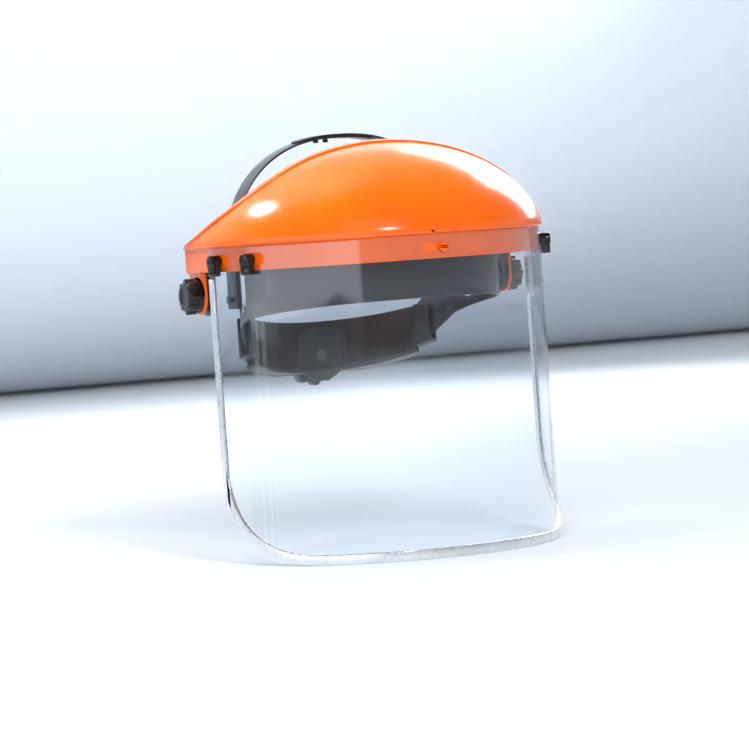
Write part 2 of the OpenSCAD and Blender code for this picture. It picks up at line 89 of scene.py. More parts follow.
lens_data = bpy.data.cameras.new("camera")
camera = bpy.data.objects.new("camera", lens_data)
bpy.context.scene.collection.objects.link(camera)
back = Vector((
    math.sin(VIEW_FROM) * math.cos(VIEW_UP),
    -math.cos(VIEW_FROM) * math.cos(VIEW_UP),
    math.sin(VIEW_UP),
))
facing = (-back).to_track_quat("-Z", "Y").to_matrix().to_4x4()
camera.matrix_world = (
    Matrix.Translation(AIM + back * CAMERA_DISTANCE) @ facing @ Matrix.Rotation(CAMERA_LEAN, 4, "Z")
)
lens_data.sensor_width = 36
lens_data.lens = LENS_MM
bpy.context.scene.camera = camera
print("camera at", [round(v, 3) for v in camera.location])

# %% [markdown]
# ### A paper sweep and studio light
#
# The clear sheet shows mostly what it mirrors, so the light is planned backwards from it: two low
# walls of light lay a soft haze over the sides of the visor, and a darker gap in front keeps its
# middle clear. Above them the sky is dim, which keeps the dome's orange deep. Small lamps give
# the bright spots on the dome, a tall one at the right rear gives its long soft reflection, and
# two broad ones that don't show in reflections light the paper.

# %% Floor and backdrop
FLOOR_Z = -0.2312
SWEEP_BACK = 3.3
SWEEP_R = 1.6
SWEEP_SIZE = 14
bpy.ops.object.select_all(action="DESELECT")
bpy.ops.mesh.primitive_plane_add(size=1, location=(0, 0, FLOOR_Z))
paper = bpy.context.active_object
paper.name = "paper_sweep"
paper.scale = (SWEEP_SIZE, SWEEP_SIZE, 1)
bpy.ops.object.transform_apply(location=True, rotation=True, scale=True)
bpy.ops.object.mode_set(mode="EDIT")
bpy.ops.mesh.bisect(plane_co=(0, SWEEP_BACK, 0), plane_no=(0, 1, 0), clear_outer=True)
bpy.ops.mesh.select_all(action="DESELECT")
bpy.ops.mesh.select_mode(type="EDGE")
sweep_mesh = bmesh.from_edit_mesh(paper.data)
for edge in sweep_mesh.edges:
    edge.select = all(v.co.y > SWEEP_BACK - 0.01 for v in edge.verts)
bmesh.update_edit_mesh(paper.data)
bpy.ops.mesh.spin(
    steps=24, angle=math.radians(-80), center=(0, SWEEP_BACK, FLOOR_Z + SWEEP_R), axis=(-1, 0, 0)
)
bpy.ops.mesh.extrude_region_move(TRANSFORM_OT_translate={"value": (0, 0.5, 3)})
bpy.ops.mesh.select_mode(type="VERT")
bpy.ops.object.mode_set(mode="OBJECT")
bpy.ops.object.shade_smooth()
paper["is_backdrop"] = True
low, high = [Vector(paper.bound_box[i]) for i in (0, 6)]
print("paper from", [round(v, 2) for v in low], "to", [round(v, 2) for v in high])

# %% Lamps


def lamp(name, azimuth, elevation, distance, size, watts, tint=(1, 1, 1)):
    """A square soft lamp that points at the shield from an azimuth and an elevation in degrees."""
    a, e = math.radians(azimuth), math.radians(elevation)
    away = Vector((math.sin(a) * math.cos(e), -math.cos(a) * math.cos(e), math.sin(e)))
    data = bpy.data.lights.new(name, "AREA")
    data.size = size
    data.energy = watts
    data.color = tint
    light = bpy.data.objects.new(name, data)
    bpy.context.scene.collection.objects.link(light)
    light.matrix_world = (
        Matrix.Translation(AIM + away * distance) @ away.to_track_quat("Z", "Y").to_matrix().to_4x4()
    )
    light.visible_camera = False
    return light


lamp("front_spot", -9, 26, 2.2, 0.22, 9)
lamp("rear_spot", -127, 50, 2.0, 0.30, 22)
lamp("tall_right", 128, 26, 2.4, 1.3, 60, (0.97, 0.985, 1))
lamp("overhead", -150, 70, 2.6, 1.4, 70).visible_glossy = False
lamp("backdrop_wash", 180, 50, 2.6, 3.0, 150).visible_glossy = False
lamp("front_fill", -20, 30, 4.0, 2.4, 110).visible_glossy = False


# %% Material helpers
def colour(code):
    """An sRGB hex colour as linear values with alpha."""
    values = [int(code[i:i + 2], 16) / 255 for i in (1, 3, 5)]
    return (*[v / 12.92 if v <= 0.04045 else ((v + 0.055) / 1.055) ** 2.4 for v in values], 1)


def node(tree, kind, inputs=None, **settings):
    """Adds one node; inputs gives each socket a value or another node's output."""
    made = tree.nodes.new("ShaderNode" + kind)
    for key, value in settings.items():
        setattr(made, key, value)
    for key, value in (inputs or {}).items():
        if isinstance(value, bpy.types.NodeSocket):
            tree.links.new(value, made.inputs[key])
        else:
            made.inputs[key].default_value = value
    return made


# %% Sky: two low walls of light and a gap in front
WALL_LIGHT, BEHIND_LIGHT, GAP_LIGHT = 1.0, 0.35, 0.12
SKY_DIM, SKY_BRIGHT = 0.22, 1.9
WALL_FADE = (0.22, 0.34)


def make_sky():
    """Light by azimuth, in degrees from straight ahead, up to the height where the walls fade."""
    world = bpy.data.worlds.new("studio")
    world.use_nodes = True
    bpy.context.scene.world = world
    tree = world.node_tree
    tree.nodes.clear()
    way = node(tree, "TexCoord").outputs["Generated"]
    axes = node(tree, "SeparateXYZ", {0: way})
    minus_y = node(tree, "Math", {0: axes.outputs["Y"], 1: -1.0}, operation="MULTIPLY")
    azimuth = node(tree, "Math", {0: axes.outputs["X"], 1: minus_y.outputs[0]}, operation="ARCTAN2")
    share = node(tree, "MapRange", {0: azimuth.outputs[0], 1: -math.pi, 2: math.pi, 3: 0.0, 4: 1.0})
    ramp = node(tree, "ValToRGB", {0: share.outputs[0]})
    stops = [(-180, BEHIND_LIGHT), (-112, BEHIND_LIGHT), (-104, WALL_LIGHT), (-31, WALL_LIGHT)]
    stops += [(-28, GAP_LIGHT), (31, GAP_LIGHT), (34, WALL_LIGHT), (140, WALL_LIGHT)]
    stops += [(160, BEHIND_LIGHT)]
    elements = ramp.color_ramp.elements
    for number, (degrees, level) in enumerate(stops):
        element = elements[number] if number < 2 else elements.new(0.5)
        element.position = (degrees + 180) / 360
        element.color = (level, level, level, 1)
    fade_from, fade_to = WALL_FADE
    low = node(tree, "MapRange", {0: axes.outputs["Z"], 1: fade_from, 2: fade_to, 3: 1.0, 4: 0.0})
    walls = node(tree, "Math", {0: ramp.outputs["Color"], 1: low.outputs[0]}, operation="MULTIPLY")
    levels = {0: walls.outputs[0], 1: 0.0, 2: 1.0, 3: SKY_DIM, 4: SKY_BRIGHT}
    strength = node(tree, "MapRange", levels)
    sky = node(tree, "Background", {"Color": colour("#EEF3FB"), "Strength": strength.outputs[0]})
    node(tree, "OutputWorld", {"Surface": sky.outputs[0]})


make_sky()
print("sky stops set")

# %% [markdown]
# ## Shaping tools
#
# Most parts here are thin mouldings with a constant section, so three ways of making a solid cover
# nearly all of them: a section drawn point by point and spun round an axis, an outline drawn flat
# and pulled into a plate, and one solid trimmed with another. Each helper below is one of those
# moves, as it would be done by hand in edit mode.


# %% Select, draw, spin and pull
def deselect():
    """Leaves edit mode with nothing selected, so that an operator acts only on its own piece."""
    if bpy.context.mode != "OBJECT":
        bpy.ops.object.mode_set(mode="OBJECT")
    bpy.ops.object.select_all(action="DESELECT")


def only(piece):
    """Makes piece the one selected, active object."""
    deselect()
    piece.select_set(True)
    bpy.context.view_layer.objects.active = piece


def draw(name, points, closed=True):
    """A chain of edges through points, made by extruding one vertex from point to point."""
    deselect()
    bpy.ops.mesh.primitive_plane_add(size=MM)
    piece = bpy.context.active_object
    piece.name = name
    bpy.ops.object.mode_set(mode="EDIT")
    bpy.ops.mesh.merge(type="CENTER")
    here = Vector((0, 0, 0))
    for number, point in enumerate(points):
        step = (Vector(point) - here) * MM
        if number == 0:
            bpy.ops.transform.translate(value=step)
        else:
            bpy.ops.mesh.extrude_region_move(TRANSFORM_OT_translate={"value": step})
        here = Vector(point)
    bpy.ops.mesh.select_all(action="SELECT")
    if closed:
        bpy.ops.mesh.edge_face_add()
    return piece


def face_outwards():
    """Merges doubles and turns all faces outwards, then leaves edit mode."""
    bpy.ops.mesh.select_all(action="SELECT")
    bpy.ops.mesh.remove_doubles(threshold=0.002 * MM)
    bpy.ops.mesh.normals_make_consistent(inside=False)
    bpy.ops.object.mode_set(mode="OBJECT")


def plate(name, outline, pull):
    """A flat outline pulled along a vector into a solid."""
    piece = draw(name, outline)
    bpy.ops.mesh.extrude_region_move(TRANSFORM_OT_translate={"value": Vector(pull) * MM})
    face_outwards()
    return piece


def side_plate(name, outline, half_width=200):
    """A plate drawn in side view, in Y and Z, that goes right across the shield."""
    return plate(name, [(-half_width, y, z) for y, z in outline], (2 * half_width, 0, 0))


def rod(name, radius, start, end, sides=32):
    """A round bar from one point to another."""
    deselect()
    start, end = Vector(start) * MM, Vector(end) * MM
    along = end - start
    bpy.ops.mesh.primitive_cylinder_add(
        vertices=sides, radius=radius * MM, depth=along.length, location=(start + end) / 2,
        rotation=along.to_track_quat("Z", "Y").to_euler(),
    )
    piece = bpy.context.active_object
    piece.name = name
    bpy.ops.object.transform_apply(location=True, rotation=True, scale=True)
    return piece


def block(name, low, high):
    """A box between two corners."""
    deselect()
    low, high = Vector(low) * MM, Vector(high) * MM
    bpy.ops.mesh.primitive_cube_add(size=1, location=(low + high) / 2, scale=high - low)
    piece = bpy.context.active_object
    piece.name = name
    bpy.ops.object.transform_apply(location=True, rotation=True, scale=True)
    return piece


def turn_about(piece, degrees, axis="Z", centre=(0, 0, 0)):
    """Turns a finished piece about an axis through centre, and keeps its object at the origin."""
    spot = Vector(centre) * MM
    turn = Matrix.Translation(spot) @ Matrix.Rotation(math.radians(degrees), 4, axis)
    piece.data.transform(turn @ Matrix.Translation(-spot))
    return piece


# %% Trim, join, round and finish
def combine(piece, tools, operation):
    """Trims or joins piece with other solids, which are used up."""
    for tool in tools if isinstance(tools, (list, tuple)) else [tools]:
        only(piece)
        change = piece.modifiers.new(operation.lower(), "BOOLEAN")
        change.operation = operation
        change.solver = "EXACT"
        change.object = tool
        bpy.ops.object.modifier_apply(modifier=change.name)
        bpy.data.objects.remove(tool)
    return piece


def cut(piece, tools):
    return combine(piece, tools, "DIFFERENCE")


def keep_inside(piece, tools):
    return combine(piece, tools, "INTERSECT")


def weld(piece, tools):
    return combine(piece, tools, "UNION")


def soften(piece, width, segments=2, over=35, smooth=40):
    """Rounds the edges that turn by more than `over` degrees, as a mould's edges are."""
    only(piece)
    bpy.ops.object.mode_set(mode="EDIT")
    bpy.ops.mesh.select_all(action="SELECT")
    bpy.ops.mesh.remove_doubles(threshold=0.02 * MM)
    bpy.ops.mesh.dissolve_degenerate(threshold=0.01 * MM)
    bpy.ops.object.mode_set(mode="OBJECT")
    if width:
        edge = piece.modifiers.new("rounded edges", "BEVEL")
        edge.width = width * MM
        edge.segments = segments
        edge.limit_method = "ANGLE"
        edge.angle_limit = math.radians(over)
        edge.use_clamp_overlap = False
        edge.miter_outer = "MITER_ARC"
        bpy.ops.object.modifier_apply(modifier=edge.name)
    bpy.ops.object.shade_smooth_by_angle(angle=math.radians(smooth), keep_sharp_edges=False)
    return piece


def copy_of(piece, name):
    """A copy with its own mesh."""
    twin = piece.copy()
    twin.data = piece.data.copy()
    twin.name = name
    bpy.context.scene.collection.objects.link(twin)
    return twin


def mirrored(piece, name):
    """A copy on the shield's other side, turned right side out again."""
    twin = copy_of(piece, name)
    twin.data.transform(Matrix.Scale(-1, 4, (1, 0, 0)))
    twin.data.flip_normals()
    return twin


def place(piece, body, slot, material, *nodes):
    """Gives a finished piece its material and its body, and hides the CAD nodes that it stands for."""
    piece.data.materials.clear()
    piece.data.materials.append(material)
    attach(piece, body)
    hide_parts(*nodes)
    print(f"{piece.name}: {len(piece.data.polygons)} faces, rides on {body}")


# %% [markdown]
# ## Sizes that several parts share
#
# They are the CAD model's own: the sheet is bent to one radius, the crown's skirt sits just inside
# it, and the headgear follows an ellipse a little wider than a head.

# %% Shared sizes
SHEET_R = 129
SHEET_T = 1
SHEET_OUT = SHEET_R + SHEET_T
SHEET_W = 394
SHEET_H = 229
SHEET_TOP = -1.2
SHEET_EDGE = math.degrees(SHEET_W / 2 / (SHEET_R + SHEET_T / 2))
CROWN_R = 131.5
CROWN_H = 73
CROWN_BACK = 41
WALL = 2.3
SKIRT_OUT = SHEET_R - 0.6
SKIRT_IN = SKIRT_OUT - WALL
SKIRT_H = 18
PIVOT_Y = 26
PIVOT_Z = -35
BOLT_HOLE_R = 3.05
EAR_OUT = 126.4
EAR_IN = 123.9
EAR_W = 28
BUTTON_DEG = (65, 81)
BUTTON_Z = -10
BAND_A = 95.5
BAND_B = 97
NAPE_Z = -88
SIDES = {"right": -1, "left": 1}


def round_z(radius, degrees, z):
    """Point at an angle from straight ahead; a positive angle is on the wearer's left."""
    a = math.radians(degrees)
    return (radius * math.sin(a), -radius * math.cos(a), z)


def spoke(name, radius, side, degrees, start, end, z=BUTTON_Z, sides=32):
    """A round bar that points straight out from the middle at an angle."""
    return rod(name, radius, round_z(start, side * degrees, z), round_z(end, side * degrees, z), sides)


print("half angle of the bent sheet:", round(SHEET_EDGE, 1), "degrees")

# %% [markdown]
# ## The crown
#
# One glossy injection moulding: a dome over the brow, a skirt that carries the visor, a rounded
# bead along its rear rim, and an ear at each side for the pivot. It could start from a squashed
# sphere, but the skirt, the ledge and the wall thickness are easier to control in one section,
# drawn once and spun half round the front, then pulled straight back at the sides. A side view of
# the rim trims it, and the same trick with a slightly fatter section makes the bead.


# %% Dome, skirt and bead
DOME_MID = -8
DOME_EDGE = 2.5
DOME_START = math.asin((DOME_EDGE - DOME_MID) / (CROWN_H - DOME_MID))
DOME_A = CROWN_R / math.cos(DOME_START)


def dome_arc(grow, steps=28):
    """The dome's curve, from its edge up to its top, grown by a few millimetres."""
    points = []
    rise = CROWN_H + grow - DOME_MID
    for i in range(steps + 1):
        a = DOME_START + (math.pi / 2 - DOME_START) * i / steps
        points.append(((DOME_A + grow) * math.cos(a), DOME_MID + rise * math.sin(a)))
    return points


def spun_shell(name, section, steps=80):
    """Spins an open section half round the front, then pulls its open edge straight back."""
    piece = draw(name, [(x, 0, z) for x, z in section], closed=False)
    bpy.ops.mesh.spin(steps=steps, angle=math.pi, center=(0, 0, 0), axis=(0, 0, 1))
    bpy.ops.mesh.select_all(action="SELECT")
    bpy.ops.mesh.remove_doubles(threshold=0.002 * MM)
    bpy.ops.mesh.select_all(action="DESELECT")
    bpy.ops.mesh.select_mode(type="EDGE")
    mesh = bmesh.from_edit_mesh(piece.data)
    for edge in mesh.edges:
        edge.select = edge.is_boundary
    bmesh.update_edit_mesh(piece.data)
    pull = (CROWN_BACK + 5) * MM
    bpy.ops.mesh.extrude_region_move(TRANSFORM_OT_translate={"value": (0, pull, 0)})
    bpy.ops.mesh.edge_face_add()
    bpy.ops.mesh.select_mode(type="VERT")
    face_outwards()
    return piece


RIM_FRONT = -38
RIM_HIGH = 52
RIM_STEPS = 16
RIM_LEVELS = [RIM_HIGH * i / RIM_STEPS for i in range(RIM_STEPS, -1, -1)]
LEDGE_Z = 1.2


def rim_y(z):
    """Where the rear rim runs at height z: well forward at the top, swept back to the ears."""
    return RIM_FRONT + (CROWN_BACK - RIM_FRONT) * max(0.0, 1 - z / RIM_HIGH) ** 2.2


def rim_outline(inset):
    """Side view of all that lies in front of the rim."""
    sweep = [(rim_y(z) - inset, z) for z in RIM_LEVELS]
    return [(-160, -60), (-160, 100), (RIM_FRONT - inset, 100), *sweep, (CROWN_BACK - inset, -60)]


outer = [(SKIRT_OUT, -SKIRT_H), (SKIRT_OUT, 0), (CROWN_R - 0.4, 0), *dome_arc(0)]
inner = [*reversed(dome_arc(-WALL)), (CROWN_R - WALL, LEDGE_Z)]
inner += [(SKIRT_IN, LEDGE_Z), (SKIRT_IN, -SKIRT_H)]
crown = spun_shell("crown", [*inner, *outer])
print("crown blank:", len(crown.data.polygons), "faces")

# %% Trim the rim, then weld on the bead
keep_inside(crown, side_plate("rim", rim_outline(0)))
BEAD_W = 6
sweep_back = [(rim_y(z), z) for z in RIM_LEVELS]
sweep_front = [(y - BEAD_W, z) for y, z in reversed(sweep_back)]
bead_view = [(RIM_FRONT, 100), *sweep_back, (CROWN_BACK, -60)]
bead_view += [(CROWN_BACK - BEAD_W, -60), *sweep_front]
bead = spun_shell("bead", [*reversed(dome_arc(-1)), *dome_arc(1.4)])
keep_inside(bead, side_plate("bead_side_view", [*bead_view, (RIM_FRONT - BEAD_W, 100)]))
weld(crown, bead)
print("crown with bead:", len(crown.data.polygons), "faces")

# %% [markdown]
# ### Ears, stud and holes
#
# Each ear is a flat lug with a round end, welded inside the skirt. A mushroom stud in the middle
# holds the visor's keyhole, and two small ribs on the ledge show where it goes. All holes are
# drilled last, when there is only one solid left to drill.

# %% Ears, stud, ribs and holes
for side in SIDES.values():
    front, rear = PIVOT_Y - EAR_W / 2, PIVOT_Y + EAR_W / 2
    x_in, x_out = sorted((side * EAR_IN, side * EAR_OUT))
    lug = block("lug", (x_in, front, PIVOT_Z), (x_out, rear, 1))
    end = rod("lug_end", EAR_W / 2, (x_in, PIVOT_Y, PIVOT_Z), (x_out, PIVOT_Y, PIVOT_Z), sides=64)
    weld(crown, weld(lug, end))

STUD_SHANK = 1.7
STUD_HEAD = 3.6
stud = spoke("stud", STUD_SHANK, 1, 0, SKIRT_OUT - 1, SHEET_OUT + 0.8)
weld(stud, spoke("stud_head", STUD_HEAD, 1, 0, SHEET_OUT + 0.3, SHEET_OUT + 1.8))
slot_low = (-STUD_HEAD - 1, -SHEET_OUT - 2.4, BUTTON_Z - 0.4)
cut(stud, block("driver_slot", slot_low, (STUD_HEAD + 1, -SHEET_OUT - 1.3, BUTTON_Z + 0.4)))
weld(crown, stud)
for degrees in (-2.5, 4.5):
    rib = block("rib", (-0.5, -CROWN_R - 1.2, 0.5), (0.5, -CROWN_R + 1.2, 8.5))
    weld(crown, turn_about(rib, degrees))

for side in SIDES.values():
    drill = [(side * x, PIVOT_Y, PIVOT_Z) for x in (120, 130)]
    cut(crown, rod("pivot_hole", BOLT_HOLE_R, *drill))
    for degrees in BUTTON_DEG:
        cut(crown, spoke("button_hole", 2.55, side, degrees, SKIRT_IN - 2, SKIRT_OUT + 2))
soften(crown, 0.7, segments=3)
print("finished crown:", len(crown.data.polygons), "faces")

# %% [markdown]
# ## The visor
#
# A flat sheet of clear polycarbonate, cut out and bent round the skirt. Bending a flat mesh with a
# modifier would work, but its holes would have to be cut first and would bend into many thin
# faces. Here the sheet is spun as a thin wall, and a side view and the holes trim it, so the broad
# face stays clean, and a clear, glossy face shows every flaw.


# %% Bent sheet
def sheet_y(run):
    """Y of the sheet at a distance along it from its side edge."""
    return -SHEET_OUT * math.cos(math.radians(SHEET_EDGE) - run / SHEET_OUT)


def sheet_outline(inset, top, run=92, rise=72, steps=20):
    """Side view of the sheet with its rounded lower corner, its edge moved in by inset."""
    corner = []
    for i in range(steps + 1):
        a = math.radians(90 * i / steps)
        y = sheet_y(inset + (run - inset) * (1 - math.cos(a)))
        corner.append((y, SHEET_TOP - SHEET_H + rise - (rise - inset) * math.sin(a)))
    return [(-150, top), (sheet_y(inset), top), *corner, (-150, SHEET_TOP - SHEET_H + inset)]


def thin_wall(name, r_in, r_out, low, high, over=3, steps=124):
    """A wall bent round the front, a few degrees longer than the sheet at each end."""
    start = math.radians(-SHEET_EDGE - over)
    corners = [(r_in, low), (r_out, low), (r_out, high), (r_in, high)]
    piece = draw(name, [(r * math.sin(start), -r * math.cos(start), z) for r, z in corners])
    turn = 2 * math.radians(SHEET_EDGE + over)
    bpy.ops.mesh.spin(steps=steps, angle=-turn, center=(0, 0, 0), axis=(0, 0, 1))
    face_outwards()
    return piece


def oblong(name, x0, x1, radius, depth=(SHEET_R - 3, SHEET_OUT + 3), steps=12):
    """A slot with round ends, drawn at the front and pushed through the sheet."""
    outline = []
    for centre, first in ((x1, -90), (x0, 90)):
        for i in range(steps + 1):
            a = math.radians(first + 180 * i / steps)
            outline.append((centre + radius * math.cos(a), -depth[1], BUTTON_Z + radius * math.sin(a)))
    return plate(name, outline, (0, depth[1] - depth[0], 0))


visor = thin_wall("visor", SHEET_R, SHEET_OUT, SHEET_TOP - SHEET_H, SHEET_TOP)
keep_inside(visor, side_plate("visor_side_view", sheet_outline(0, 5)))
BUTTON_R = 4.25
SLOT_RUN = 8.5
for side in SIDES.values():
    for degrees in BUTTON_DEG:
        low, high = sorted((0, -side * SLOT_RUN))
        cut(visor, turn_about(oblong("button_slot", low, high, BUTTON_R + 0.35), side * degrees))
cut(visor, spoke("keyhole", STUD_HEAD + 0.4, -1, 5.4, SHEET_R - 3, SHEET_OUT + 3))
cut(visor, oblong("keyway", -12, 0, STUD_SHANK + 0.25))
soften(visor, 0.15, segments=1)
print("visor:", len(visor.data.polygons), "faces")

# %% [markdown]
# ## The edging
#
# Soft aluminium strip folded double over the sheet's edge, from below one ear, round the bottom
# and up to the other. It is the sheet's own outline, a little fatter, with the middle trimmed out,
# and its edges are rolled round.

# %% Folded edging
FOIL = 0.6
EDGING_W = 6.5
EDGING_TOP = -23
edging = thin_wall("edging", SHEET_R - FOIL, SHEET_OUT + FOIL, SHEET_TOP - SHEET_H - FOIL, EDGING_TOP)
keep_inside(edging, side_plate("edging_side_view", sheet_outline(-FOIL, EDGING_TOP + 5)))
cut(edging, side_plate("window", sheet_outline(EDGING_W, EDGING_TOP + 10)))
soften(edging, 0.55, segments=3)
print("edging:", len(edging.data.polygons), "faces")

# %% [markdown]
# ## The quarter-turn buttons
#
# Four black nylon buttons hold the sheet to the skirt: a round barrel with a lever that hangs
# down across the slot. One is modelled at the front, and the others are copies turned into place.

# %% One button, copied to four places
LEVER_IN = SHEET_OUT + 0.4
BUTTON_TOP = 137
LEVER_LOW = BUTTON_Z - 11


def make_button():
    button = spoke("button", BUTTON_R, 1, 0, SKIRT_OUT + 0.3, BUTTON_TOP, sides=48)
    half = BUTTON_R - 0.05
    shape = [(-half, BUTTON_Z), (-half, LEVER_LOW + 1.2), (1.2 - half, LEVER_LOW)]
    shape += [(half - 1.2, LEVER_LOW), (half, LEVER_LOW + 1.2), (half, BUTTON_Z)]
    front = 0.6 - BUTTON_TOP
    weld(button, plate("lever", [(x, front, z) for x, z in shape], (0, -LEVER_IN - front, 0)))
    cut(button, block("finger_line", (-10, -BUTTON_TOP - 0.6, -15.5), (10, 1 - BUTTON_TOP, -14.5)))
    soften(button, 0.5, segments=3)
    shank = spoke("shank", 2.5, 1, 0, SKIRT_IN - 1.6, SKIRT_OUT + 1)
    weld(shank, spoke("flange", 4, 1, 0, SKIRT_IN - 1.8, SKIRT_IN - 0.3))
    weld(button, shank)
    return soften(button, 0)


button_pattern = make_button()
buttons = {}
for hand, side in SIDES.items():
    for spot, degrees in zip(("front", "rear"), BUTTON_DEG):
        name = f"turn_button_{hand}_{spot}"
        buttons[name] = turn_about(copy_of(button_pattern, f"button_{hand}_{spot}"), side * degrees)
bpy.data.objects.remove(button_pattern)
print("buttons:", sorted(buttons))

# %% [markdown]
# ## The headband
#
# A flat strip of polyethylene that follows the head: broad side plates with a round notch for the
# ears, legs that carry the crown strap, and a plain band across the brow. On the real one it is
# moulded flat and sprung round. Here a strip is drawn round an ellipse, pulled up to full height,
# and trimmed with its side view, which keeps both the curve and the outline exact.


# %% Strips round the head
def band_point(t, d, z):
    """Point of the head's ellipse grown by d; t is 0 at the nape and 90 on the wearer's left."""
    a = math.radians(t)
    return ((BAND_A + d) * math.sin(a), (BAND_B + d) * math.cos(a), z)


def outward_shift(t, lift):
    """How far the outer of two crossing tails moves out, with a smooth start."""
    k = min(1.0, max(0.0, (56 - t) / 22))
    return lift * k * k * (3 - 2 * k)


def strip(name, t0, t1, d0, d1, low, high, lift=0, steps=40):
    """A wall that follows the ellipse between two angles and two offsets."""
    turns = [t0 + (t1 - t0) * i / steps for i in range(steps + 1)]
    inner = [band_point(t, d0 + outward_shift(t, lift), low) for t in turns]
    outer = [band_point(t, d1 + outward_shift(t, lift), low) for t in reversed(turns)]
    return plate(name, [*inner, *outer], (0, 0, high - low))


def ellipse_solid(name, d, low, high, steps=96):
    """The space inside the ellipse grown by d."""
    ring = [band_point(360 * i / steps, d, low) for i in range(steps)]
    return plate(name, ring, (0, 0, high - low))


# %% Front band, side plates and strap legs
BAND_T = 2.2
LEG_BACK = 47
NOTCH_Y, NOTCH_Z, NOTCH_R = 22, -36, 14
arch = []
for degrees in range(180, 361, 10):
    a = math.radians(degrees)
    arch.append((NOTCH_Y + NOTCH_R * math.cos(a), NOTCH_Z + NOTCH_R * math.sin(a)))
band_view = [(-110, -6), (0, -6), (6, -8), (8, -14), *arch, (36, -14), (LEG_BACK, -14)]
band_view += [(LEG_BACK, -69.5), (37, -62), (21, -57.5), (0, -54), (-40, -50), (-75, -47)]
band_view += [(-110, -45.5)]
headband = ellipse_solid("headband", BAND_T / 2, -80, 0)
cut(headband, ellipse_solid("head", -BAND_T / 2, -90, 10))
keep_inside(headband, side_plate("band_side_view", band_view))

PEG_Y = 41.5
PEG_Z = -40
FOOT_IN = 90.7
for side in SIDES.values():
    x_in, x_out = sorted((side * (FOOT_IN - 8), side * FOOT_IN))
    boss = block("boss", (x_in, PEG_Y - 5.5, -46), (x_out, PEG_Y + 5.5, -30))
    cut(boss, ellipse_solid("band_core", BAND_T / 2 - 0.5, -90, 10))
    weld(headband, boss)
    for name, radius, start, end in (("peg", 2, -1, 5), ("peg_head", 3.4, 4.4, 5.6)):
        ends = [(side * (FOOT_IN + out), PEG_Y, PEG_Z) for out in (start, end)]
        weld(headband, rod(name, radius, *ends))
soften(headband, 0.5, segments=2)
print("headband:", len(headband.data.polygons), "faces")

# %% [markdown]
# ### The arms to the pivots
#
# From the front band a curved arm runs back just inside the crown's skirt and drops to the pivot
# as a flat plate with a round end. It is built of five simple solids welded together.

# %% Pivot arms
ARM_IN, ARM_OUT = 117.5, 120.5
ARM_LOW, ARM_HIGH = -17, -2
WEB_DEG = 57


def make_arm():
    """The arm on the wearer's left."""
    turns = [WEB_DEG - 2 + (90 - WEB_DEG + 2) * i / 16 for i in range(17)]
    rim_points = [round_z(ARM_IN, t, ARM_LOW) for t in turns]
    rim_points += [round_z(ARM_OUT, t, ARM_LOW) for t in reversed(turns)]
    arm = plate("arm", rim_points, (0, 0, ARM_HIGH - ARM_LOW))
    ear_front = PIVOT_Y - EAR_W / 2 - 1
    weld(arm, block("rail", (ARM_IN, -1, ARM_LOW), (ARM_OUT, ear_front + 2, ARM_HIGH)))
    web = block("web", (-1.5, -ARM_OUT + 1, ARM_LOW), (1.5, -ARM_OUT + 41, ARM_HIGH))
    cut(turn_about(web, WEB_DEG), ellipse_solid("inside", BAND_T / 2 + 0.05, -40, 40))
    weld(arm, web)
    drop = block("drop", (ARM_IN, ear_front, PIVOT_Z), (ARM_OUT, ear_front + EAR_W + 2, ARM_HIGH))
    ends = [(x, PIVOT_Y, PIVOT_Z) for x in (ARM_IN, ARM_OUT)]
    weld(arm, weld(drop, rod("round_end", EAR_W / 2 + 1, *ends, sides=64)))
    drill = [(x, PIVOT_Y, PIVOT_Z) for x in (ARM_IN - 5, ARM_OUT + 5)]
    cut(arm, rod("bolt_hole", BOLT_HOLE_R, *drill))
    return soften(arm, 0.6, segments=2)


arm_left = make_arm()
arm_left.name = "arm_left"
arm_right = mirrored(arm_left, "arm_right")
print("arms:", len(arm_left.data.polygons), "faces each")

# %% [markdown]
# ### The crown strap
#
# Two moulded straps hook on the legs' pegs and meet over the head, where pegs on one snap into
# holes in the other. Each is an arch drawn from the front and pulled back to the strap's width.
# The outer one ends in a rounded tongue with thin edges, and both have a row of holes.

# %% Strap halves
STRAP_Y, STRAP_W, STRAP_T = 33, 18, 1.5
STRAP_A, STRAP_Z0, STRAP_TOP = 92, -14, 78.5
ARCH_POWER = 0.87
STRAP_MID = STRAP_Y + STRAP_W / 2


def arch_point(a, d):
    """Point of the strap's arch, seen from the front; a is 90 at the side and 0 at the top."""
    t = math.radians(a)
    across = math.copysign(abs(math.sin(t)) ** ARCH_POWER, a)
    rise = STRAP_TOP - STRAP_Z0 - 1.6 + d
    return ((STRAP_A + d) * across, STRAP_Z0 + rise * abs(math.cos(t)) ** ARCH_POWER)


